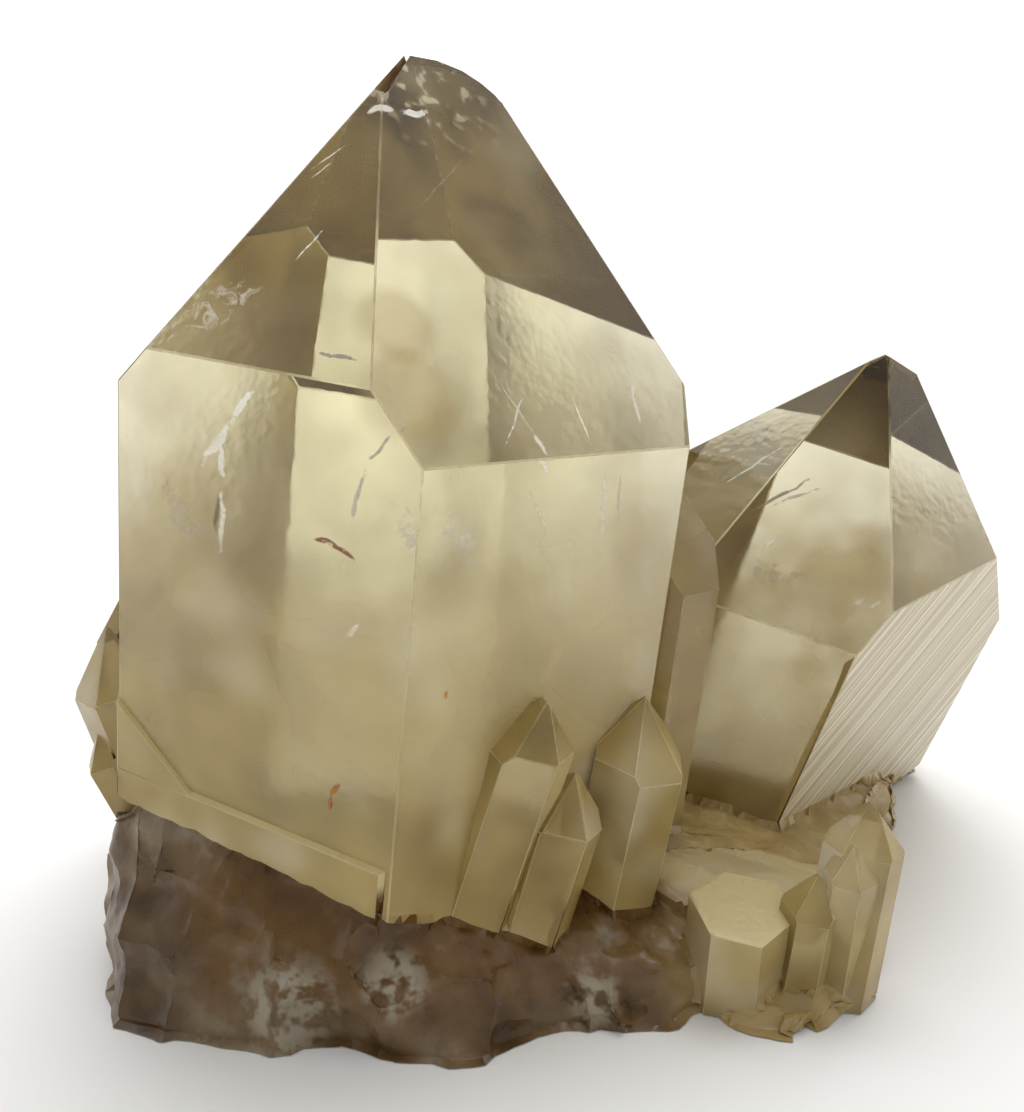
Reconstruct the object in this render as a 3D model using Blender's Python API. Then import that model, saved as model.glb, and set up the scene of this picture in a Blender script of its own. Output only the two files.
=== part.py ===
"""Citrine crystal point: a large leaning point, a second point beside it, small side
crystals and the broken root they all grew from. One solid, standing on the cut
underside of the root. Metres, +Z up, +Y away from the front."""

import math

import bmesh
import bpy
from mathutils import Vector, noise

MM = 0.001
JOIN = 0.000006

# Angle between the long axis and the line square to a tip face, the same on every quartz crystal.
TIP_ANGLE = math.atan(1.1 * 2.0 / math.sqrt(3.0))
FACES = 6

# A crystal is given by a point on its axis, how far it leans to the right and to the front, its turn
# about the axis, and six side and six tip faces. A side is its distance from the axis and a tip face
# the height at which it crosses the axis, both in the order front left, front right, right,
# back right, back left, left. The foot is how far the body goes down from the point.
MAIN = {
    "at": (-18.0, 0.0, 80.0),
    "lean": (5.8, 3.5),
    "turn": -22.0,
    "sides": (28.7, 26.5, 37.2, 54.4, 56.0, 41.0),
    "tips": (49.2, 38.0, 59.0, 69.5, 78.0, 59.9),
    "foot": 84.0,
}
# Where the tip is knocked off: a line square to each break and a point on it.
MAIN_BREAKS = (
    ((0.00, 0.10, 0.99), (-18.0, 7.0, 133.3)),
    ((0.28, 0.05, 0.96), (-13.6, 9.8, 132.5)),
    ((0.50, 0.00, 0.87), (-10.0, 11.6, 130.8)),
    ((0.74, -0.10, 0.66), (-7.2, 12.4, 128.7)),
    ((0.10, -0.66, 0.745), (-22.3, -1.8, 126.8)),
)
RIGHT = {
    "at": (58.0, 30.0, 46.0),
    "lean": (11.5, 20.3),
    "turn": -15.6,
    "sides": (29.0, 12.7, 33.0, 33.0, 36.0, 48.0),
    "tips": (45.3, 31.0, 36.5, 48.4, 59.7, 61.4),
    "foot": 70.0,
}
RIGHT_BREAKS = (
    ((0.45, 0.05, 0.89), (52.0, 20.0, 92.2)),
)
# A slim crystal grown parallel to the main one, behind its right edge.
SLIVER = {
    "at": (17.0, 10.0, 50.0),
    "lean": (5.6, 3.8),
    "turn": -21.2,
    "sides": (10.0, 11.0, 7.8, 8.0, 10.0, 10.0),
    "tips": (34.0, 22.5, 24.4, 36.0, 36.0, 34.0),
    "foot": 46.0,
}
# The slightly raised skin low on the front left face: the slope of its upper edge and a point on
# it, how far it stands out, and how far its hidden sides stay inside the main crystal.
SKINS = (
    (((0.02, -0.42, 0.91), (-42.0, -22.2, 30.2)), 0.9, 0.7),
    (((0.66, -0.36, 0.66), (-54.5, -16.2, 37.0)), 0.8, 1.1),
)
# The small crystals, given in the same way from the point where their tip faces meet.
SMALL = {
    "front_left": {
        "at": (0.0, -18.6, 46.4), "lean": (16.5, 4.0), "turn": 4.0,
        "sides": (4.8, 4.8, 5.4, 5.0, 5.4, 6.4), "tips": (0.0, 0.4, 0.6, 3.0, 3.0, 0.6), "foot": 36.0,
    },
    "front_low": {
        "at": (3.8, -16.4, 34.4), "lean": (15.0, 3.0), "turn": -58.0,
        "sides": (5.4, 5.0, 5.4, 5.0, 5.0, 5.0), "tips": (0.2, 0.0, 0.5, 2.0, 2.0, 2.0), "foot": 30.0,
    },
    "front_right": {
        "at": (14.8, -6.6, 42.2), "lean": (9.0, 5.0), "turn": -34.0,
        "sides": (6.6, 7.6, 7.2, 6.0, 6.0, 6.0), "tips": (0.0, 0.0, 0.4, 2.0, 2.0, 0.8), "foot": 38.0,
    },
    "left_upper": {
        "at": (-65.5, 8.0, 56.4), "lean": (-8.0, 1.0), "turn": -20.0,
        "sides": (6.0, 6.2, 6.0, 6.0, 6.0, 6.0), "tips": (0.0, 1.0, 2.0, 0.5, 1.0, 0.0), "foot": 50.0,
    },
    "left_middle": {
        "at": (-67.1, 1.0, 51.0), "lean": (-15.0, 4.0), "turn": 12.0,
        "sides": (7.0, 6.8, 7.0, 7.0, 7.0, 7.2), "tips": (0.0, 1.0, 1.0, 1.0, 1.0, 0.0), "foot": 42.0,
    },
    "left_low": {
        "at": (-68.4, -3.0, 35.6), "lean": (-22.0, 5.0), "turn": -8.0,
        "sides": (3.6, 3.4, 3.6, 3.6, 3.6, 3.6), "tips": (0.0, 0.8, 1.0, 1.0, 1.0, 0.0), "foot": 24.0,
    },
    "right_end": {
        "at": (47.6, -13.4, 28.8), "lean": (8.0, -6.0), "turn": -12.0,
        "sides": (5.0, 5.2, 4.4, 5.0, 5.0, 5.6), "tips": (0.0, 0.8, 0.2, 1.5, 1.5, 0.8), "foot": 34.0,
    },
    "right_inner": {
        "at": (43.8, -18.6, 24.6), "lean": (3.0, 3.0), "turn": -24.0,
        "sides": (3.6, 3.5, 3.4, 3.4, 3.2, 3.4), "tips": (0.0, 0.0, 1.0, 1.5, 1.5, 0.3), "foot": 30.0,
    },
    "right_middle": {
        "at": (39.4, -18.2, 19.8), "lean": (5.0, 3.0), "turn": -14.0,
        "sides": (4.2, 3.8, 3.6, 4.4, 4.4, 4.2), "tips": (0.0, 0.6, 0.4, 1.5, 1.5, 0.6), "foot": 26.0,
    },
    "right_stub": {
        "at": (29.2, -17.0, 22.6), "lean": (2.0, 3.0), "turn": -16.0,
        "sides": (7.4, 6.6, 7.0, 7.0, 7.0, 7.0), "tips": (0.0, 0.4, 1.0, 1.0, 1.0, 0.6), "foot": 30.0,
    },
}
STUB_BREAK = ((0.05, -0.20, 0.98), (29.0, -17.0, 14.2))
BEVEL_LARGE = 0.22
BEVEL_SMALL = 0.12

# The rough levels at which the clear crystal faces end, under the main point and under the second
# one: height at the origin, slope to the right, slope to the back.
MAIN_FOOT = (2.5, -0.383, -0.300)
RIGHT_FOOT = (-14.0, 0.10, 0.15)
FOOT_RAGGED = 1.0

# The root, as a ring of stations anticlockwise seen from above: a ground point (x, y) and a rim
# point (x, y, z). The front half follows the outline in the picture, the back half closes it.
ROOT = (
    ((-61.5, -25.0), (-60.2, -13.2, 29.4)),
    ((-53.5, -27.3), (-51.0, -15.2, 26.9)),
    ((-45.6, -29.5), (-45.0, -17.4, 25.6)),
    ((-37.5, -29.4), (-38.6, -20.0, 24.2)),
    ((-28.0, -29.2), (-31.6, -22.8, 21.6)),
    ((-20.0, -31.6), (-23.2, -25.4, 19.8)),
    ((-9.3, -33.1), (-16.2, -22.4, 16.6)),
    ((-3.9, -29.9), (-8.0, -21.0, 13.2)),
    ((3.3, -24.6), (0.5, -19.5, 9.8)),
    ((10.5, -24.0), (8.0, -19.0, 7.6)),
    ((18.8, -25.4), (16.0, -20.5, 6.6)),
    ((21.0, -22.8), (21.0, -19.0, 5.6)),
    ((24.3, -21.0), (24.6, -16.5, 6.0)),
    ((27.6, -24.3), (28.5, -18.0, 6.0)),
    ((32.5, -25.0), (34.0, -17.5, 6.5)),
    ((39.5, -22.4), (40.0, -15.5, 7.5)),
    ((45.6, -18.6), (45.0, -12.0, 9.0)),
    ((50.0, -10.0), (47.0, -6.0, 12.0)),
    ((54.0, 3.0), (50.5, 4.0, 9.5)),
    ((58.0, 16.0), (55.5, 16.0, 9.0)),
    ((61.5, 28.0), (62.0, 29.0, 8.5)),
    ((65.5, 36.0), (68.5, 37.5, 9.5)),
    ((69.0, 46.0), (67.0, 44.0, 8.0)),
    ((75.0, 55.0), (76.0, 56.0, 6.0)),
    ((78.0, 65.0), (78.0, 66.0, 7.0)),
    ((76.0, 76.0), (74.0, 75.0, 8.0)),
    ((62.0, 84.0), (60.0, 80.0, 9.0)),
    ((46.0, 89.0), (44.0, 85.0, 10.0)),
    ((33.0, 88.0), (33.0, 83.0, 11.0)),
    ((22.0, 78.0), (22.0, 73.0, 12.0)),
    ((12.0, 66.0), (12.0, 60.0, 12.0)),
    ((2.0, 60.0), (3.0, 54.0, 10.0)),
    ((-10.0, 66.0), (-8.0, 60.0, 12.0)),
    ((-24.0, 72.0), (-22.0, 66.0, 11.0)),
    ((-38.0, 73.0), (-36.0, 67.5, 10.0)),
    ((-52.0, 64.0), (-50.0, 59.0, 13.0)),
    ((-64.0, 52.0), (-61.0, 48.0, 12.0)),
    ((-74.0, 40.0), (-72.5, 39.0, 11.0)),
    ((-75.0, 26.0), (-71.5, 26.0, 14.0)),
    ((-72.0, 10.0), (-68.5, 10.0, 18.0)),
    ((-66.0, -5.0), (-66.0, -2.0, 22.0)),
    ((-65.0, -17.0), (-65.2, -9.5, 26.0)),
)
ROOT_COLUMNS = 170
ROOT_LEVELS = 9
ROOT_BULGE = 2.0
ROOT_CENTRE = (-4.0, 10.0, 20.0)
# The root is made a little deeper than it stands, then everything is cut off level at the ground.
ROOT_DEPTH = 2.0
ROOT_CAP = (0.96, 0.91, 0.85, 0.78, 0.70, 0.60, 0.46, 0.26)
CHIP_SIZE = 12.0
CHIP_DEPTH = 2.0
CHIP_TILT = 0.22


def clear_scene():
    """Remove whatever the scene starts with."""
    for item in list(bpy.data.objects):
        bpy.data.objects.remove(item, do_unlink=True)


def axis_frame(lean):
    """The long axis and the two directions square to it, toward the front and to the right."""
    across = math.tan(math.radians(lean[0]))
    front = math.tan(math.radians(lean[1]))
    axis = Vector((across, -front, 1.0)).normalized()
    toward = Vector((0.0, -1.0, 0.0))
    toward = (toward - axis * toward.dot(axis)).normalized()
    return axis, toward, axis.cross(toward)


def crystal_planes(shape, breaks=()):
    """Every face of a crystal as a (direction, point) pair, in millimetres."""
    axis, toward, sideways = axis_frame(shape["lean"])
    at = Vector(shape["at"])
    planes = []
    for index in range(FACES):
        angle = math.radians(shape["turn"] + 60.0 * index)
        out = toward * math.cos(angle) + sideways * math.sin(angle)
        planes.append((out, at + out * shape["sides"][index]))
        tip = out * math.sin(TIP_ANGLE) + axis * math.cos(TIP_ANGLE)
        planes.append((tip, at + axis * shape["tips"][index]))
    planes.append((-axis, at - axis * shape["foot"]))
    for direction, point in breaks:
        planes.append((Vector(direction).normalized(), Vector(point)))
    return planes


def hull_of(mesh):
    """The smallest convex body round these points, with its flat faces whole."""
    hull = bmesh.new()
    for vertex in mesh.verts:
        hull.verts.new(vertex.co)
    mesh.free()
    bmesh.ops.remove_doubles(hull, verts=hull.verts[:], dist=0.03)
    found = bmesh.ops.convex_hull(hull, input=hull.verts[:])
    inside = [item for item in found["geom_interior"] if isinstance(item, bmesh.types.BMVert)]
    bmesh.ops.delete(hull, geom=inside, context="VERTS")
    bmesh.ops.dissolve_limit(
        hull, angle_limit=math.radians(0.3), verts=hull.verts[:], edges=hull.edges[:]
    )
    return hull


def solid_from_planes(planes, bevel):
    """A block trimmed by one plane after another, with its edges slightly worn."""
    mesh = bmesh.new()
    bmesh.ops.create_cube(mesh, size=600.0)
    for direction, point in planes:
        geometry = mesh.verts[:] + mesh.edges[:] + mesh.faces[:]
        bmesh.ops.bisect_plane(
            mesh, geom=geometry, dist=1e-5, plane_co=point, plane_no=direction, clear_outer=True
        )
        rim = [edge for edge in mesh.edges if edge.is_boundary]
        if rim:
            bmesh.ops.holes_fill(mesh, edges=rim, sides=0)
    bmesh.ops.dissolve_degenerate(mesh, dist=0.02, edges=mesh.edges[:])
    bmesh.ops.bevel(
        mesh,
        geom=mesh.edges[:],
        offset=bevel,
        offset_type="OFFSET",
        segments=1,
        profile=0.5,
        affect="EDGES",
        clamp_overlap=True,
    )
    return hull_of(mesh)


def to_object(mesh, name):
    """Turn a bmesh in millimetres into an object in metres."""
    for vertex in mesh.verts:
        vertex.co *= MM
    bmesh.ops.recalc_face_normals(mesh, faces=mesh.faces[:])
    data = bpy.data.meshes.new(name)
    mesh.to_mesh(data)
    mesh.free()
    item = bpy.data.objects.new(name, data)
    bpy.context.scene.collection.objects.link(item)
    return item


def make_crystal(name, shape, bevel, breaks=()):
    """One crystal as its own closed solid."""
    return to_object(solid_from_planes(crystal_planes(shape, breaks), bevel), name)


def make_skin(edge, rise, inset):
    """Raised skin: the main crystal again, its front left face moved out, cut along one edge."""
    shape = dict(MAIN)
    sides = [side - inset for side in MAIN["sides"]]
    sides[0] = MAIN["sides"][0] + rise
    sides[5] = MAIN["sides"][5] + rise * 0.3
    shape["sides"] = tuple(sides)
    shape["tips"] = tuple(tip - 2.0 * inset for tip in MAIN["tips"])
    shape["foot"] = MAIN["foot"] - inset
    return make_crystal("skin", shape, BEVEL_SMALL, (edge,))


def tidy(item):
    """Join points that lie on each other and make every face a triangle facing out."""
    mesh = bmesh.new()
    mesh.from_mesh(item.data)
    bmesh.ops.remove_doubles(mesh, verts=mesh.verts[:], dist=JOIN)
    bmesh.ops.dissolve_degenerate(mesh, dist=JOIN, edges=mesh.edges[:])
    bmesh.ops.triangulate(mesh, faces=mesh.faces[:])
    bmesh.ops.recalc_face_normals(mesh, faces=mesh.faces[:])
    mesh.to_mesh(item.data)
    mesh.free()


def combine(target, other, operation):
    """One exact Boolean, applied at once; the other object is used up."""
    modifier = target.modifiers.new("combine", "BOOLEAN")
    modifier.operation = operation
    modifier.solver = "EXACT"
    modifier.object = other
    graph = bpy.context.evaluated_depsgraph_get()
    result = bpy.data.meshes.new_from_object(target.evaluated_get(graph))
    target.modifiers.clear()
    target.data = result
    bpy.data.objects.remove(other, do_unlink=True)
    tidy(target)


def chips(point):
    """How far a broken surface stands in or out here: shallow scoops with sharp ridges between."""
    spot = point / CHIP_SIZE
    distances, centres = noise.voronoi(spot)
    scoop = min(distances[0] ** 2 * 1.6, 1.0) - 0.45
    lean = noise.cell_vector(centres[0] * 7.3)
    away = spot - centres[0]
    tilt = (lean - Vector((0.5, 0.5, 0.5))).dot(away) * 2.0 * CHIP_SIZE * CHIP_TILT
    return scoop * CHIP_DEPTH + tilt + 0.5 * noise.noise(point * 0.35)


def break_level(foot, x, y):
    """Height of the rough break between the clear faces and the root."""
    level = foot[0] + foot[1] * x + foot[2] * y
    ragged = noise.noise(Vector((x * 0.16, y * 0.16, 3.1)))
    ragged += 0.55 * noise.noise(Vector((x * 0.45, y * 0.45, 7.7)))
    return level + FOOT_RAGGED * ragged


def make_break_cutter(foot, left, right, columns):
    """The space under a rough break, to be taken off the crystals above it."""
    front, back = -60.0, 110.0
    rows = 68
    mesh = bmesh.new()
    grid = []
    for row in range(rows + 1):
        y = front + (back - front) * row / rows
        line = []
        for column in range(columns + 1):
            x = left + (right - left) * column / columns
            line.append(mesh.verts.new((x, y, break_level(foot, x, y))))
        grid.append(line)
    for row in range(rows):
        for column in range(columns):
            a, b = grid[row][column], grid[row][column + 1]
            c, d = grid[row + 1][column + 1], grid[row + 1][column]
            mesh.faces.new((a, b, c))
            mesh.faces.new((a, c, d))
    edges = [edge for edge in mesh.edges if edge.is_boundary]
    lower = bmesh.ops.extrude_edge_only(mesh, edges=edges)["geom"]
    for vertex in lower:
        if isinstance(vertex, bmesh.types.BMVert):
            vertex.co.z = -120.0
    rim = [edge for edge in mesh.edges if edge.is_boundary]
    bmesh.ops.holes_fill(mesh, edges=rim, sides=0)
    return to_object(mesh, "break_cutter")


def root_station(place):
    """Ground point and rim point at a place round the ring, 0 to 1."""
    spot = place * len(ROOT)
    index = int(spot) % len(ROOT)
    part = spot - int(spot)
    ground_a, rim_a = ROOT[index]
    ground_b, rim_b = ROOT[(index + 1) % len(ROOT)]
    ground = Vector((*ground_a, 0.0)).lerp(Vector((*ground_b, 0.0)), part)
    return ground, Vector(rim_a).lerp(Vector(rim_b), part)


def root_point(place, rise):
    """A point on the side of the root, from the ground (rise 0) to the rim (rise 1)."""
    ground, rim = root_station(place)
    before, after = root_station((place - 0.012) % 1.0)[0], root_station((place + 0.012) % 1.0)[0]
    along = (after - before).normalized()
    out = Vector((along.y, -along.x, 0.0))
    ground.z = -ROOT_DEPTH
    point = ground.lerp(rim, rise)
    bulge = ROOT_BULGE * math.sin(math.pi * min(rise * 0.9 + 0.08, 1.0))
    fade = min(0.45 + rise * 2.5, 1.0) if rise < 0.7 else 1.0 - (rise - 0.7) / 0.42
    point += out * (bulge + chips(point) * fade)
    if rise > 0.0:
        point.z += 0.5 * fade * noise.noise(point * 0.4)
    return point


def make_root():
    """The broken root: chipped sides, a flat underside and a low domed top inside the crystals."""
    mesh = bmesh.new()
    centre = Vector(ROOT_CENTRE)
    rings = []
    for level in range(ROOT_LEVELS + 1):
        rise = level / ROOT_LEVELS
        rings.append([root_point(column / ROOT_COLUMNS, rise) for column in range(ROOT_COLUMNS)])
    for share in ROOT_CAP:
        ring = []
        for point in rings[ROOT_LEVELS]:
            spot = centre.lerp(point, share)
            spot.z += (1.0 - share) * 4.0 * noise.noise(spot * 0.12)
            spot.z += 0.35 * chips(spot)
            ring.append(spot)
        rings.append(ring)
    lines = [[mesh.verts.new(point) for point in ring] for ring in rings]
    for lower, upper in zip(lines, lines[1:]):
        for column in range(ROOT_COLUMNS):
            following = (column + 1) % ROOT_COLUMNS
            mesh.faces.new((lower[column], lower[following], upper[following], upper[column]))
    top = mesh.verts.new(centre)
    for column in range(ROOT_COLUMNS):
        mesh.faces.new((lines[-1][column], lines[-1][(column + 1) % ROOT_COLUMNS], top))
    mesh.faces.new(list(reversed(lines[0])))
    bmesh.ops.triangulate(mesh, faces=[face for face in mesh.faces if len(face.verts) == 4])
    return to_object(mesh, "root")


def cut_at_ground(item):
    """Take off everything under the ground and close the cut with a flat face."""
    mesh = bmesh.new()
    mesh.from_mesh(item.data)
    geometry = mesh.verts[:] + mesh.edges[:] + mesh.faces[:]
    bmesh.ops.bisect_plane(
        mesh, geom=geometry, dist=1e-6, plane_co=(0, 0, 0), plane_no=(0, 0, 1), clear_inner=True
    )
    rim = [edge for edge in mesh.edges if edge.is_boundary]
    bmesh.ops.holes_fill(mesh, edges=rim, sides=0)
    mesh.to_mesh(item.data)
    mesh.free()
    tidy(item)


def citrine_material():
    """Smoky yellow clear quartz."""
    material = bpy.data.materials.new("citrine")
    material.use_nodes = True
    shader = material.node_tree.nodes["Principled BSDF"]
    shader.inputs["Base Color"].default_value = (0.78, 0.66, 0.40, 1.0)
    shader.inputs["Roughness"].default_value = 0.05
    shader.inputs["IOR"].default_value = 1.544
    shader.inputs["Transmission Weight"].default_value = 1.0
    return material


def centre_on_base(item):
    """Move the mesh so that the middle of its bounding box bottom is the origin."""
    xs = [vertex.co.x for vertex in item.data.vertices]
    ys = [vertex.co.y for vertex in item.data.vertices]
    zs = [vertex.co.z for vertex in item.data.vertices]
    middle = Vector(((min(xs) + max(xs)) / 2.0, (min(ys) + max(ys)) / 2.0, min(zs)))
    for vertex in item.data.vertices:
        vertex.co -= middle


def build_cluster():
    """All the crystals and the root, joined into the one solid."""
    cluster = make_crystal("citrine_cluster", MAIN, BEVEL_LARGE, MAIN_BREAKS)
    for edge, rise, inset in SKINS:
        combine(cluster, make_skin(edge, rise, inset), "UNION")
    for name in ("front_left", "front_low", "front_right"):
        combine(cluster, make_crystal(name, SMALL[name], BEVEL_SMALL), "UNION")
    combine(cluster, make_break_cutter(MAIN_FOOT, -90.0, 60.0, 60), "DIFFERENCE")
    combine(cluster, make_root(), "UNION")
    second = make_crystal("second_point", RIGHT, BEVEL_LARGE, RIGHT_BREAKS)
    combine(second, make_break_cutter(RIGHT_FOOT, -20.0, 130.0, 60), "DIFFERENCE")
    combine(cluster, second, "UNION")
    combine(cluster, make_crystal("sliver", SLIVER, BEVEL_SMALL), "UNION")
    for name in SMALL:
        if name.startswith("front"):
            continue
        breaks = (STUB_BREAK,) if name == "right_stub" else ()
        combine(cluster, make_crystal(name, SMALL[name], BEVEL_SMALL, breaks), "UNION")
    cut_at_ground(cluster)
    centre_on_base(cluster)
    cluster.data.materials.clear()
    cluster.data.materials.append(citrine_material())
    return cluster


clear_scene()
build_cluster()
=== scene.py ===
import math

import bmesh
import bpy
from mathutils import Matrix, Vector, noise


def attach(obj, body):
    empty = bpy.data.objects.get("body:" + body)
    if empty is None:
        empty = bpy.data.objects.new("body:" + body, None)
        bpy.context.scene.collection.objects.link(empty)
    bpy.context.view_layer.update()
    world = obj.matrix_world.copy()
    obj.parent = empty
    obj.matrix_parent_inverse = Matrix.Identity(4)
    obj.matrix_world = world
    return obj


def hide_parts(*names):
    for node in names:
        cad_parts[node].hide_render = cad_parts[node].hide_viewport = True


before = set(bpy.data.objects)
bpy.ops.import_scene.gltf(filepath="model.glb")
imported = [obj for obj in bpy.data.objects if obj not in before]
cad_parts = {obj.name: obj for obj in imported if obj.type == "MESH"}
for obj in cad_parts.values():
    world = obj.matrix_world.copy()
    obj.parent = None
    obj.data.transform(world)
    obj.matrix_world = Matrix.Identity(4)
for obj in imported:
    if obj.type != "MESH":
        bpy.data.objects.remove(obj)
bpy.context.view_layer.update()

# The crystals and their root.
# One natural body of smoky yellow quartz: points with flat growth faces and worn edges, standing on
# the broken lump that they grew from. Where it is broken, the surface is chipped and cloudy.

# The height of quartz's crystal cell for a width of one, and the slope that it gives the tip faces.
CELL_HEIGHT = 1.1
TIP_ANGLE = math.atan(CELL_HEIGHT * 2.0 / math.sqrt(3.0))
# How far each crystal leans right and forward, and its turn, in degrees.
GROWTH = (
    (5.8, 3.5, -22.0), (11.5, 20.3, -15.6), (5.6, 3.8, -21.2), (16.5, 4.0, 4.0), (15.0, 3.0, -58.0),
    (9.0, 5.0, -34.0), (-8.0, 1.0, -20.0), (-15.0, 4.0, 12.0), (-22.0, 5.0, -8.0), (8.0, -6.0, -12.0),
    (3.0, 3.0, -24.0), (5.0, 3.0, -14.0), (2.0, 3.0, -16.0),
)

# Cosine of the widest angle, under one degree, between two faces that count as one plane.
SAME_WAY = 0.9999
STRAIGHT_DOWN = -0.999
# In metres and square metres: how near the floor counts as on it, the smallest growth face, and the
# smallest triangle and shortest edge of a break that are wide enough for chips.
ON_FLOOR = 0.0001
LEAST_GROWTH_FACE = 7e-6
LEAST_BREAK = 1.2e-6
LEAST_BREAK_EDGE = 0.0006
# Points nearer than this are one, and the edges of a break are cut until they are this short.
WELD = 0.000002
BREAK_STEP = 0.0012
# How wide and how deep the three sizes of scoop are that a break leaves.
SCOOPS = ((0.0095, 0.0016), (0.0035, 0.0005), (0.0015, 0.00012))
# The front of the root ends at this height at the middle, falling toward the right by this slope. The
# raised skins above it are on the front alone, and stay as smooth as the crystal.
ROOT_TOP = 0.0145
ROOT_FALL = 0.27
SKINS_END = -0.030
ROOT_RIM = 0.0002
SHARP = math.radians(32.0)


def growth_directions():
    """The direction of every growth face: six sides and six tip faces of each crystal."""
    found = []
    for right, front, turn in GROWTH:
        axis = Vector((math.tan(math.radians(right)), -math.tan(math.radians(front)), 1.0)).normalized()
        toward = Vector((0.0, -1.0, 0.0))
        toward = (toward - axis * toward.dot(axis)).normalized()
        across = axis.cross(toward)
        for index in range(6):
            angle = math.radians(turn + 60.0 * index)
            out = toward * math.cos(angle) + across * math.sin(angle)
            found.append(out)
            found.append(out * math.sin(TIP_ANGLE) + axis * math.cos(TIP_ANGLE))
    return found


def growth_faces(mesh, ways):
    """The triangles of every large enough growth face, and of the level underside."""
    found, seen = set(), set()
    for start in mesh.faces:
        if start in seen:
            continue
        seen.add(start)
        under = start.normal.z < STRAIGHT_DOWN and start.calc_center_median().z < ON_FLOOR
        if not under and max(start.normal.dot(way) for way in ways) < SAME_WAY:
            continue
        region, queue = [], [start]
        while queue:
            face = queue.pop()
            region.append(face)
            for edge in face.edges:
                for other in edge.link_faces:
                    if other not in seen and other.normal.dot(start.normal) > SAME_WAY:
                        seen.add(other)
                        queue.append(other)
        if sum(face.calc_area() for face in region) > LEAST_GROWTH_FACE:
            found.update(region)
    return found


def scoop(point, width):
    """How deep the point lies in a shallow scoop of this width, 0 to 1."""
    distances = noise.voronoi(point / width)[0]
    return min(distances[0] * 1.1, 1.0)


def in_break(faces):
    return all(face[break_mark] > 0.5 for face in faces)


body = bpy.data.objects.new("crystal_body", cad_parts["citrine_cluster"].data.copy())
bpy.context.scene.collection.objects.link(body)
stone = bmesh.new()
stone.from_mesh(body.data)
bmesh.ops.remove_doubles(stone, verts=stone.verts[:], dist=WELD)
stone.normal_update()
break_mark = stone.faces.layers.float.new("broken")
edge_mark = stone.faces.layers.float.new("worn_edge")
line_mark = stone.faces.layers.float.new("lined")
growth_ways = growth_directions()
# Two neighbouring sides of the second point. The growth lines are on the second of them.
front_way, lined_way = growth_ways[12], growth_ways[14]
flat = growth_faces(stone, growth_ways)
flat_verts = {vert for face in flat for vert in face.verts}
for face in stone.faces:
    loose = any(vert not in flat_verts for vert in face.verts)
    shortest = min(edge.calc_length() for edge in face.edges)
    wide = face.calc_area() > LEAST_BREAK and shortest > LEAST_BREAK_EDGE
    face[break_mark] = 1.0 if face not in flat and (loose or wide) else 0.0
    face[edge_mark] = 1.0 if face not in flat and not face[break_mark] else 0.0
    face[line_mark] = 1.0 if face in flat and face.normal.dot(lined_way) > SAME_WAY else 0.0
for edge in stone.edges:
    edge.smooth = in_break(edge.link_faces)
for _ in range(4):
    long = [edge for edge in stone.edges if edge.calc_length() > BREAK_STEP and in_break(edge.link_faces)]
    bmesh.ops.subdivide_edges(stone, edges=long, cuts=1)
    bmesh.ops.triangulate(stone, faces=[face for face in stone.faces if len(face.verts) > 3])
stone.normal_update()
moves = []
for vert in stone.verts:
    on_root = vert.co.z + ROOT_FALL * vert.co.x < ROOT_TOP or vert.co.y > SKINS_END
    if in_break(vert.link_faces) and vert.co.z > ROOT_RIM and on_root:
        deep = sum(scoop(vert.co, width) * depth for width, depth in SCOOPS)
        moves.append((vert, vert.normal * -deep))
for vert, move in moves:
    vert.co += move
    vert.co.z = max(vert.co.z, ON_FLOOR)
for face in stone.faces:
    face.smooth = face[break_mark] > 0.5
stone.normal_update()
for edge in stone.edges:
    if edge.smooth and edge.is_manifold:
        edge.smooth = edge.calc_face_angle() < SHARP
stone.to_mesh(body.data)
stone.free()


class Shade:
    """A value that changes over a surface. Sums and products of these add Math nodes."""

    def __init__(self, tree, socket=None):
        self.tree = tree
        self.socket = socket

    def node(self, kind, inputs=None, out=0, stops=None, **settings):
        """Any node: its settings and ramp stops first, then the values or links of its sockets."""
        made = self.tree.nodes.new(kind)
        for name, value in settings.items():
            setattr(made, name, value)
        if stops:
            while len(made.color_ramp.elements) < len(stops):
                made.color_ramp.elements.new(0.5)
            for element, (place, colour) in zip(made.color_ramp.elements, stops):
                element.position = place
                element.color = (*colour, 1.0)
        for name, value in (inputs or {}).items():
            if isinstance(value, Shade):
                self.tree.links.new(value.socket, made.inputs[name])
            else:
                made.inputs[name].default_value = value
        return Shade(self.tree, made.outputs[out]) if out is not None else made

    def math(self, operation, *others, clamp=False):
        inputs = dict(enumerate((self,) + others))
        return self.node("ShaderNodeMath", inputs, operation=operation, use_clamp=clamp)

    def __add__(self, other):
        return self.math("ADD", other)

    __radd__ = __add__

    def __mul__(self, other):
        return self.math("MULTIPLY", other)

    __rmul__ = __mul__

    def __sub__(self, other):
        return self.math("SUBTRACT", other)

    def __rsub__(self, other):
        return self.node("ShaderNodeMath", {0: other, 1: self}, operation="SUBTRACT")

    def ease(self, low, high):
        """0 below low, 1 above high, with a smooth rise between."""
        inputs = {"Value": self, "From Min": low, "From Max": high}
        return self.node("ShaderNodeMapRange", inputs, interpolation_type="SMOOTHSTEP")

def new_finish(name):
    """An empty material, the maker of its nodes, and the place on the piece in metres."""
    finish = bpy.data.materials.new(name)
    finish.use_nodes = True
    finish.node_tree.nodes.clear()
    make = Shade(finish.node_tree)
    return finish, make, make.node("ShaderNodeTexCoord", out="Object")


def mark(make, name):
    """A mark that was left on the mesh, as a value."""
    return make.node("ShaderNodeAttribute", attribute_name=name, out="Fac")


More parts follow.
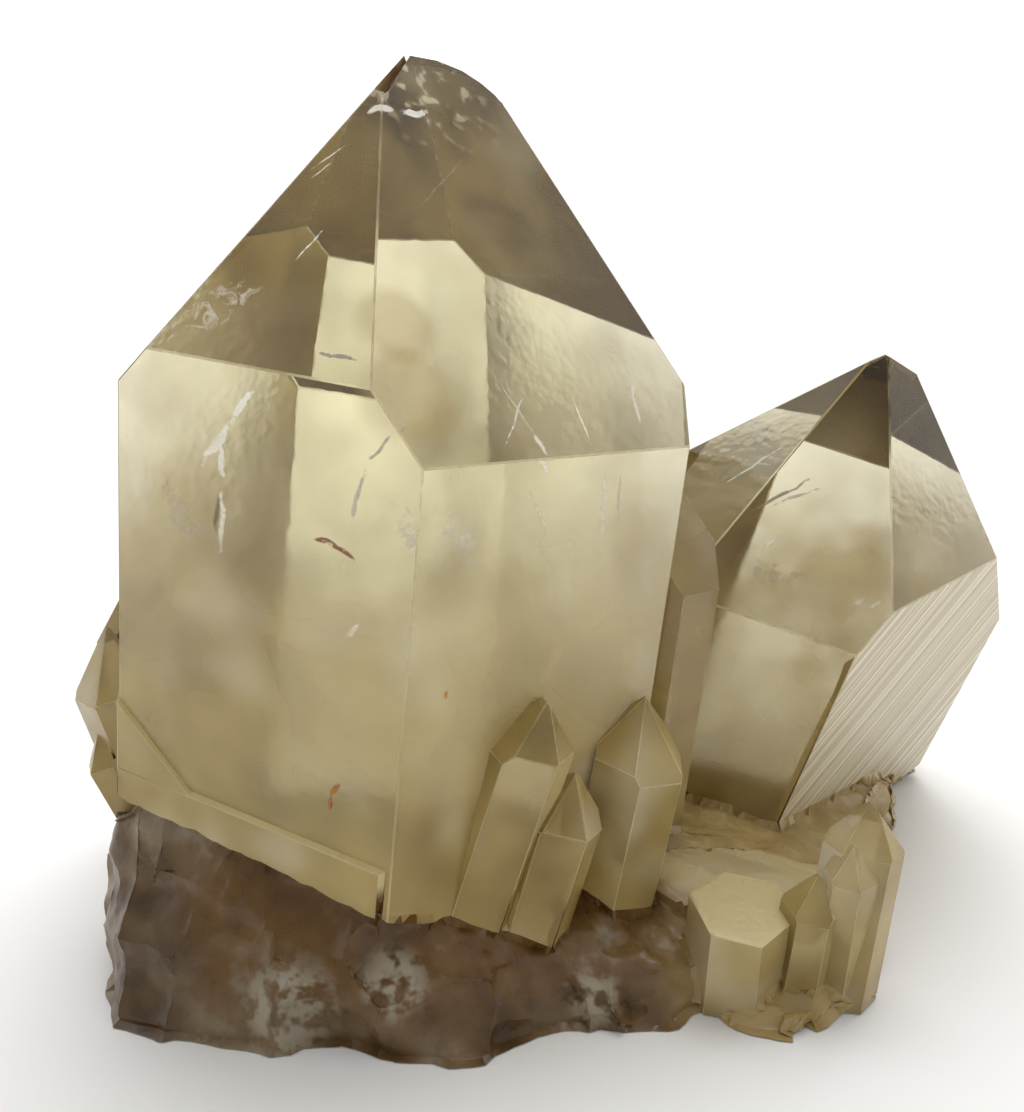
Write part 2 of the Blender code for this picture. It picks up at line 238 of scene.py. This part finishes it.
def grain(place, scale, detail, rough=0.55, twist=0.0):
    """Cloudy noise, with a scale in waves per metre."""
    inputs = {"Vector": place, "Scale": scale, "Detail": detail, "Roughness": rough, "Distortion": twist}
    return place.node("ShaderNodeTexNoise", inputs)


def ramp(value, stops):
    """The colours of the stops, each at its place between 0 and 1."""
    return value.node("ShaderNodeValToRGB", {0: value}, stops=stops)


def blend(share, first, second):
    """The first colour where the share is 0 and the second where it is 1."""
    return share.node("ShaderNodeMix", {0: share, 6: first, 7: second}, out=2, data_type="RGBA")


def near(place, point, far, close):
    """1 within the close distance of a point, 0 beyond the far one."""
    inputs = {0: place, 1: point}
    gap = place.node("ShaderNodeVectorMath", inputs, out="Value", operation="DISTANCE")
    return gap.ease(far, close)


def raised(height, strength, distance=0.001):
    """The surface tilted as if this height were raised by up to this distance."""
    inputs = {"Height": height, "Strength": strength, "Distance": distance}
    return height.node("ShaderNodeBump", inputs, out="Normal")


def growth_lines(place, slant, scale):
    """Fine lines on the second point's lined side, at a slant from its long axis."""
    long_way = front_way.cross(lined_way).normalized()
    level = long_way.cross(lined_way)
    run = (long_way + level * slant).normalized()
    step = lined_way.cross(run)
    gap = place.node("ShaderNodeVectorMath", {0: place, 1: step}, out="Value", operation="DOT_PRODUCT")
    inputs = {"W": gap, "Scale": scale, "Detail": 2.0, "Roughness": 0.7}
    return place.node("ShaderNodeTexNoise", inputs, noise_dimensions="1D")


QUARTZ_IOR = 1.544
# Each spot is a point, how far it reaches and how far it is full, in metres.
CLEAR_SPOTS = (((-0.030, -0.057, 0.080), 0.021, 0.008), ((0.010, -0.033, 0.086), 0.018, 0.006))
MAIN_TIP = ((-0.0245, -0.024, 0.1300), 0.017, 0.005)
SECOND_TIP = ((0.0465, -0.004, 0.0920), 0.009, 0.003)
MAIN_TIP_VEIL = ((-0.0245, -0.034, 0.1180), 0.030, 0.008)
SECOND_POINT_VEIL = ((0.039, -0.020, 0.058), 0.023, 0.008)
LEFT_VEIL = ((-0.062, -0.046, 0.086), 0.020, 0.006)
SOFT_SHADES = (((-0.0249, -0.0515, 0.0983), 0.0064, 0.0036), ((-0.0229, -0.0564, 0.0903), 0.0078, 0.0046))
AMBER_SPOT = ((-0.040, -0.055, 0.016), 0.024, 0.006)
WHITE_SPOTS = (
    ((-0.0268, -0.0589, 0.0101), 0.0065, 0.0025),
    ((-0.0416, -0.0576, 0.0055), 0.0090, 0.0030),
    ((0.0010, -0.0539, 0.0050), 0.0060, 0.0020),
)
HAZE_COLOURS = ((0.38, (0.40, 0.262, 0.070)), (0.62, (0.55, 0.405, 0.145)))
PALE_QUARTZ = (0.70, 0.63, 0.45, 1.0)
NEARLY_CLEAR = (1.0, 0.99, 0.97, 1.0)
# Painted shade and painted light: the colour in the hollows of the growth lines, and on their ridges.
SHADED_LINE_HOLLOW, LIT_LINE_RIDGE = (0.47, 0.38, 0.22, 1.0), (0.80, 0.72, 0.53, 1.0)
ROOT_BROWNS = (
    (0.34, (0.030, 0.014, 0.004)),
    (0.47, (0.140, 0.063, 0.012)),
    (0.57, (0.190, 0.106, 0.036)),
    (0.68, (0.36, 0.31, 0.24)),
)
AMBER = (0.13, 0.060, 0.006, 1.0)
DARK_GREY, LIGHT_GREY = (0.070, 0.046, 0.023, 1.0), (0.22, 0.168, 0.098, 1.0)
PATCH_WHITE = (0.36, 0.31, 0.225, 1.0)
DARK_TAN, LIGHT_TAN = (0.32, 0.205, 0.066, 1.0), (0.47, 0.34, 0.145, 1.0)
SKIN_CREAM = (0.58, 0.47, 0.24, 1.0)
SMOKY_YELLOW = (0.93, 0.89, 0.66, 1.0)

quartz, make, place = new_finish("smoky_citrine")
parts = make.node("ShaderNodeSeparateXYZ", {0: place}, out=None)
right, back, high = (Shade(make.tree, parts.outputs[name]) for name in "XYZ")
broken = mark(make, "broken")
worn = mark(make, "worn_edge")
lined = mark(make, "lined")

# Growth faces: clear toward the tips and milky toward the root, with worn, chipped tips.
low_cloud = grain(place, 28.0, 0.0)
mid_cloud = grain(place, 95.0, 1.0, 0.6)
fine_cloud = grain(place, 420.0, 1.0, 0.6)
wisps = grain(place, 55.0, 1.0, 0.7).ease(0.50, 0.72)
level = high + right.ease(0.010, 0.026) * 0.021 + low_cloud * 0.02 - 0.010
clearing = near(place, *CLEAR_SPOTS[0]) + near(place, *CLEAR_SPOTS[1])
foot = level.ease(0.097, 0.052) * (1 - clearing * 0.6)
tip_wear = near(place, *MAIN_TIP) + near(place, *SECOND_TIP)
tip_chips = (fine_cloud + tip_wear * 0.08).ease(0.58, 0.74) * tip_wear
veil = near(place, *MAIN_TIP_VEIL) * 0.24 + near(place, *SECOND_POINT_VEIL) * 0.42
veil = veil + near(place, *LEFT_VEIL) * 0.35
soft_shade = near(place, *SOFT_SHADES[0]) + near(place, *SOFT_SHADES[1])
milk = foot * 0.42 + level.ease(0.060, 0.025) * 0.18 + 0.02 + wisps * 0.16 + tip_chips * 0.5
milk = milk + veil * mid_cloud.ease(0.32, 0.62) + soft_shade * 0.34
milk = milk + (mid_cloud - 0.5) * 0.45 * foot + worn * fine_cloud.ease(0.45, 0.60) * 0.25
cloud = milk.math("MINIMUM", 0.94, clamp=True)
pale = (wisps * 0.5 + tip_chips + worn * 0.3).math("MINIMUM", 1.0)
crystal_tone = blend(pale, ramp(low_cloud * 0.6 + mid_cloud * 0.4, HAZE_COLOURS), PALE_QUARTZ)
wear = raised(fine_cloud * (tip_wear * 0.5 + foot * 0.30 + 0.05), 0.16)
matt = foot * 0.22 + worn * 0.3 + 0.03
clear = make.node(
    "ShaderNodeBsdfPrincipled",
    {
        "Base Color": NEARLY_CLEAR,
        "Roughness": matt,
        "IOR": QUARTZ_IOR,
        "Transmission Weight": 1.0,
        "Normal": wear,
    },
)
milky = make.node(
    "ShaderNodeBsdfPrincipled",
    {
        "Base Color": crystal_tone,
        "Roughness": matt + 0.12,
        "IOR": QUARTZ_IOR,
        "Specular IOR Level": 0.35,
        "Normal": wear,
    },
)
crystal = make.node("ShaderNodeMixShader", {0: cloud, 1: clear, 2: milky})

# The lined side of the second point, frosted by fine growth lines. Its colour is painted darker in the
# hollows of the lines and lighter on their ridges: painted shade and painted light.
ridges = growth_lines(place, 0.85, 600.0).ease(0.36, 0.64)
lined_face = make.node(
    "ShaderNodeBsdfPrincipled",
    {
        "Base Color": blend(ridges, SHADED_LINE_HOLLOW, LIT_LINE_RIDGE),
        "Roughness": ridges * 0.1 + 0.28,
        "IOR": QUARTZ_IOR,
        "Normal": raised(ridges, 0.3),
    },
)

# The broken root: brown, with amber, grey and whitish patches, tan toward the right, and the broken
# edge of the raised skins above it.
root_drift = grain(place, 52.0, 2.0, 0.65)
root_grain = grain(place, 380.0, 2.0, 0.6)
root_tone = ramp(root_drift * 0.75 + root_grain * 0.25, ROOT_BROWNS)
root_tone = blend(near(place, *AMBER_SPOT) * 0.7, root_tone, AMBER)
grey = (high.ease(0.010, 0.003) * 0.7 + right.ease(-0.050, -0.062)).math("MINIMUM", 1.0)
root_tone = blend(grey * 0.6, root_tone, blend(root_drift.ease(0.38, 0.62), DARK_GREY, LIGHT_GREY))
patches = near(place, *WHITE_SPOTS[0]) + near(place, *WHITE_SPOTS[1]) + near(place, *WHITE_SPOTS[2])
patches = (patches * root_grain.ease(0.40, 0.58)).math("MINIMUM", 1.0)
root_tone = blend(patches, root_tone, PATCH_WHITE)
root_tan = blend(root_drift.ease(0.35, 0.65), DARK_TAN, LIGHT_TAN)
root_tone = blend(right.ease(0.008, 0.020), root_tone, root_tan)
skin_edge = (high + right * ROOT_FALL).ease(0.0150, 0.0175) * back.ease(-0.025, -0.035)
root_face = make.node(
    "ShaderNodeBsdfPrincipled",
    {
        "Base Color": blend(skin_edge, root_tone, SKIN_CREAM),
        "Roughness": root_grain * 0.2 + 0.2,
        "IOR": QUARTZ_IOR,
        "Specular IOR Level": 0.4,
        "Normal": raised(root_grain, 0.13),
    },
)

unbroken = make.node("ShaderNodeMixShader", {0: lined, 1: crystal, 2: lined_face})
surface = make.node("ShaderNodeMixShader", {0: broken, 1: unbroken, 2: root_face})
smoke = make.node("ShaderNodeVolumeAbsorption", {"Color": SMOKY_YELLOW, "Density": 22.0})
make.node("ShaderNodeOutputMaterial", {"Surface": surface, "Volume": smoke}, out=None)
body.data.materials.clear()
body.data.materials.append(quartz)
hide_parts("citrine_cluster")
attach(body, "root")

# Cracks and veils inside the crystals.
# Thin healed cracks, some white and some dark, and fine needles of gas bubbles. They formed while the
# crystal grew and lie closed in the quartz, behind its faces. All of them glow a little in their own
# colour, which is painted light, and two white flakes under the main tip are a painted reflection.

# Start and end in millimetres, half width, half thickness, wave, how dense, how dark.
FLAKES = (
    ((-42.4, -49.2, 90.8), (-46.6, -45.4, 85.5), 0.7, 0.12, 1.2, 1.0, 0.0),
    ((-45.4, -46.4, 86.8), (-51.5, -41.4, 78.6), 0.8, 0.12, 1.2, 1.0, 0.0),
    ((-47.9, -44.9, 84.4), (-47.8, -43.8, 76.9), 0.6, 0.12, 1.0, 1.0, 0.0),
    ((-47.8, -43.8, 78.4), (-49.3, -43.0, 66.6), 0.6, 0.12, 1.2, 0.95, 0.0),
    ((-48.9, -45.2, 77.4), (-49.5, -44.6, 69.5), 0.5, 0.10, 1.0, 1.0, 1.0),
    ((-16.4, -38.6, 90.5), (-7.8, -41.1, 78.6), 0.16, 0.10, 0.3, 0.9, 0.3),
    ((-10.3, -40.1, 82.0), (-7.6, -41.2, 78.4), 0.45, 0.12, 0.3, 1.0, 0.0),
    ((-10.6, -38.8, 87.7), (-13.9, -46.5, 79.7), 0.22, 0.10, 0.5, 0.8, 0.2),
    ((-5.4, -31.7, 86.3), (-1.8, -35.5, 77.9), 0.20, 0.10, 0.3, 0.9, 0.0),
    ((4.5, -26.4, 87.9), (5.9, -31.5, 80.0), 0.35, 0.12, 0.5, 0.8, 0.1),
    ((1.3, -38.2, 79.6), (-0.3, -35.0, 64.3), 0.55, 0.12, 1.0, 0.9, 0.1),
    ((3.0, -37.0, 78.5), (2.4, -34.0, 69.0), 0.30, 0.12, 0.8, 0.8, 0.4),
    ((-11.0, -46.4, 79.1), (-6.8, -39.3, 67.3), 0.25, 0.10, 0.8, 0.8, 0.2),
    ((-24.4, -55.3, 86.0), (-28.1, -52.8, 81.6), 0.35, 0.10, 0.6, 0.8, 0.6),
    ((-28.1, -52.8, 81.9), (-30.4, -50.7, 72.5), 0.45, 0.10, 1.0, 0.8, 0.5),
    ((-25.5, -32.8, 110.5), (-18.5, -20.2, 119.2), 0.25, 0.10, 0.5, 0.8, 0.9),
    ((-35.3, -49.1, 93.7), (-28.7, -52.1, 92.9), 0.40, 0.10, 0.4, 0.8, 0.7),
    ((-32.0, -54.2, 58.8), (-29.6, -55.0, 61.5), 0.50, 0.10, 0.4, 0.9, 0.0),
    # These two white flakes under the main tip stand for a bright band of reflected light there: a
    # painted reflection.
    ((-30.6, -30.9, 124.6), (-26.5, -29.9, 124.9), 0.70, 0.12, 0.5, 1.0, 0.0),
    ((-26.7, -29.9, 124.9), (-22.0, -26.0, 125.2), 0.80, 0.12, 0.5, 1.0, 0.0),
    ((-38.0, -33.9, 116.7), (-31.9, -32.5, 120.8), 0.16, 0.10, 0.3, 0.9, 0.0),
    ((-37.6, -34.4, 115.6), (-33.9, -33.6, 118.2), 0.14, 0.10, 0.3, 0.9, 0.0),
    ((-38.9, -41.9, 104.6), (-34.2, -39.2, 110.0), 0.20, 0.10, 0.5, 0.7, 0.1),
    ((23.9, -5.2, 66.1), (36.7, -8.5, 75.4), 0.25, 0.10, 0.4, 0.9, 0.0),
    ((40.0, -11.4, 72.2), (26.8, -12.3, 64.6), 0.40, 0.10, 0.8, 0.8, 0.7),
    ((41.0, -10.5, 69.5), (30.0, -12.5, 66.0), 0.35, 0.10, 1.2, 0.7, 0.4),
    ((29.8, -14.7, 59.7), (32.5, -14.0, 62.4), 0.35, 0.10, 0.3, 0.9, 0.0),
    ((42.5, -21.0, 52.4), (45.5, -21.2, 53.9), 0.50, 0.12, 0.5, 0.9, 0.0),
    ((44.8, -21.0, 52.0), (48.0, -21.4, 53.4), 0.40, 0.12, 0.5, 0.9, 0.0),
    ((-54.0, -36.3, 92.8), (-42.5, -32.7, 101.1), 3.5, 0.12, 1.5, 0.36, 0.25),
    ((-58.4, -33.2, 78.4), (-50.5, -37.1, 66.2), 3.0, 0.12, 2.0, 0.5, 0.5),
    ((-24.8, -47.3, 77.0), (-18.1, -40.7, 66.0), 2.6, 0.12, 1.5, 0.5, 0.3),
    ((26.0, -14.5, 57.0), (39.0, -16.5, 54.5), 3.0, 0.12, 2.0, 0.40, 0.5),
)
MILLIMETRE = 0.001
# The broad side looks to the front and a little up, as the photo shows the cracks.
BROAD_SIDE = Vector((0.0, -1.0, 0.25))
# Waves per metre of a crack's sideways bend and of its wavy surface.
BEND_PITCH = 420.0
WAVE_PITCH = 180.0
# The bend in metres for each millimetre of half width, up to a widest one.
BEND = 0.0012
WIDEST_BEND = 1.2


def add_flake(mesh, marks, start, end, half_width, half_thick, wave, density, darkness):
    """Adds one thin, wavy lens between two points, and marks its rim, density and darkness."""
    rim, dense, dark = marks
    low_end, high_end = Vector(start) * MILLIMETRE, Vector(end) * MILLIMETRE
    up = (high_end - low_end).normalized()
    across = BROAD_SIDE.cross(up).normalized()
    turn = Matrix((across, up.cross(across), up)).transposed()
    half_long = (high_end - low_end).length * 0.5
    for vert in bmesh.ops.create_icosphere(mesh, subdivisions=3, radius=1.0)["verts"]:
        vert[rim] = 1.0 - math.hypot(vert.co.x, vert.co.z)
        vert[dense] = density
        vert[dark] = darkness
        wide, thick = vert.co.x * half_width * MILLIMETRE, vert.co.y * half_thick * MILLIMETRE
        local = Vector((wide, thick, vert.co.z * half_long))
        bend = noise.noise(Vector((0.0, 0.0, local.z * BEND_PITCH)) + low_end * 900.0)
        local.x += bend * min(half_width, WIDEST_BEND) * BEND
        local.y += noise.noise(local * WAVE_PITCH + high_end * 700.0) * wave * MILLIMETRE
        vert.co = (low_end + high_end) * 0.5 + turn @ local


def flake_piece(name, flakes):
    """One piece of all these flakes."""
    mesh = bmesh.new()
    marks = [mesh.verts.layers.float.new(mark_name) for mark_name in ("rim", "dense", "dark")]
    for values in flakes:
        add_flake(mesh, marks, *values)
    for face in mesh.faces:
        face.smooth = True
    data = bpy.data.meshes.new(name)
    mesh.to_mesh(data)
    mesh.free()
    piece = bpy.data.objects.new(name, data)
    bpy.context.scene.collection.objects.link(piece)
    return piece


AIR_WHITE, CRACK_DARK = (0.96, 0.95, 0.90, 1.0), (0.09, 0.055, 0.025, 1.0)

inner_cracks = flake_piece("inner_cracks", FLAKES)
healed, make, place = new_finish("glowing_healed_crack")
streaks = grain(place, 500.0, 3.0, 0.7, 1.0)
solid = mark(make, "rim").ease(0.0, 0.7) * mark(make, "dense") * 1.6 - streaks.ease(0.62, 0.40) * 0.8
crack_colour_and_glow = blend(mark(make, "dark"), AIR_WHITE, CRACK_DARK)
# The cracks glow a little in their own colour: painted light in place of the light that they reflect.
glowing_crack_face = make.node(
    "ShaderNodeBsdfPrincipled",
    {
        "Base Color": crack_colour_and_glow,
        "Roughness": streaks * 0.4 + 0.15,
        "Alpha": solid.math("MAXIMUM", 0.0, clamp=True),
        "Normal": raised(streaks, 0.5, 0.0006),
        "Emission Color": crack_colour_and_glow,
        "Emission Strength": 0.35,
    },
)
make.node("ShaderNodeOutputMaterial", {"Surface": glowing_crack_face}, out=None)
inner_cracks.data.materials.append(healed)
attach(inner_cracks, "root")

# Iron stains.
# Thin skins of iron oxide: one red-brown sliver closed in just behind the front face, and two small
# orange specks that are half sunk in the face itself.

# Start and end in millimetres, half width, half thickness, wave, how dense, how dark.
STAINS = (
    ((-35.8, -54.0, 71.9), (-32.2, -55.2, 71.2), 0.45, 0.12, 0.4, 1.0, 0.9),
    ((-33.4, -54.8, 71.5), (-30.1, -56.0, 69.7), 0.35, 0.12, 0.4, 1.0, 1.0),
    ((-19.6, -55.8, 50.7), (-19.3, -55.8, 52.0), 0.35, 0.20, 0.1, 1.0, 0.1),
    ((-35.4, -55.0, 34.4), (-34.9, -55.1, 36.9), 0.30, 0.20, 0.3, 0.9, 0.6),
    ((-34.9, -55.2, 36.6), (-33.7, -55.7, 38.8), 0.45, 0.20, 0.3, 0.8, 0.4),
)
ORANGE_RUST, RED_RUST = (0.62, 0.26, 0.03, 1.0), (0.36, 0.060, 0.012, 1.0)

iron_stains = flake_piece("iron_stains", STAINS)
rust, make, place = new_finish("rust")
specks = grain(place, 900.0, 3.0, 0.6)
solid = mark(make, "rim").ease(0.0, 0.35) * mark(make, "dense") * specks.ease(0.30, 0.50)
rust_face = make.node(
    "ShaderNodeBsdfPrincipled",
    {
        "Base Color": blend(mark(make, "dark"), ORANGE_RUST, RED_RUST),
        "Roughness": specks * 0.3 + 0.5,
        "Alpha": solid.math("MINIMUM", 1.0),
    },
)
make.node("ShaderNodeOutputMaterial", {"Surface": rust_face}, out=None)
iron_stains.data.materials.append(rust)
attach(iron_stains, "root")

# Floor and backdrop.
# A sheet of matt white paper, laid flat under the root. It runs far past the picture's edges, and the
# light on it is so even that it goes over into the white behind it.

FLOOR_HALF = 4.0
FLOOR_GAP = 0.0002

sheet_of_paper = bmesh.new()
bmesh.ops.create_grid(sheet_of_paper, x_segments=1, y_segments=1, size=FLOOR_HALF)
bmesh.ops.translate(sheet_of_paper, verts=sheet_of_paper.verts[:], vec=(0.0, 0.0, -FLOOR_GAP))
floor_data = bpy.data.meshes.new("paper_floor")
sheet_of_paper.to_mesh(floor_data)
sheet_of_paper.free()
paper_floor = bpy.data.objects.new("paper_floor", floor_data)
bpy.context.scene.collection.objects.link(paper_floor)
paper = bpy.data.materials.new("white_paper")
paper.use_nodes = True
paper_face = paper.node_tree.nodes["Principled BSDF"]
paper_face.inputs["Base Color"].default_value = (0.9, 0.9, 0.9, 1)
paper_face.inputs["Roughness"].default_value = 0.8
paper_floor.data.materials.append(paper)

# Light and camera.
# A white studio, brighter behind the crystal than in front of it, with one wide soft light from
# above and behind. The camera stands close, at the height of the upper faces, looking 15 degrees down.

world = bpy.data.worlds.new("studio")
world.use_nodes = True
make = Shade(world.node_tree)
way = make.node("ShaderNodeTexCoord", out="Generated")
toward_back = make.node("ShaderNodeSeparateXYZ", {0: way}, out="Y")
strength = toward_back.ease(-0.6, 0.6) * 0.85 + 0.45
backdrop = world.node_tree.nodes["Background"]
world.node_tree.links.new(strength.socket, backdrop.inputs["Strength"])
backdrop.inputs["Color"].default_value = (1.0, 1.0, 0.99, 1)
world.cycles.sampling_method = "NONE"
bpy.context.scene.world = world

soft_data = bpy.data.lights.new("soft_light", "SUN")
soft_data.energy = 1.45
soft_data.angle = math.radians(50.0)
soft_light = bpy.data.objects.new("soft_light", soft_data)
soft_light.rotation_euler = (math.radians(-30.0), math.radians(7.0), 0.0)
bpy.context.scene.collection.objects.link(soft_light)
bpy.context.scene.view_settings.view_transform = "Standard"
cycles = bpy.context.scene.cycles
cycles.max_bounces = 7
cycles.diffuse_bounces = 2
cycles.transmission_bounces = 7
cycles.use_light_tree = False

# The photo's height and the camera's focal length, both in the photo's pixels.
PHOTO_HEIGHT = 1112.0
FOCAL_LENGTH = 1165.0
SENSOR = 36.0
CAMERA_PLACE = (-0.0108149, -0.1975650, 0.1080)
LOOK_DOWN = 15.0

camera_data = bpy.data.cameras.new("camera")
camera_data.sensor_width = SENSOR
camera_data.lens = SENSOR * FOCAL_LENGTH / PHOTO_HEIGHT
camera_data.clip_start = 0.005
camera = bpy.data.objects.new("camera", camera_data)
camera.location = CAMERA_PLACE
camera.rotation_euler = (math.radians(90.0 - LOOK_DOWN), 0.0, 0.0)
bpy.context.scene.collection.objects.link(camera)
bpy.context.scene.camera = camera
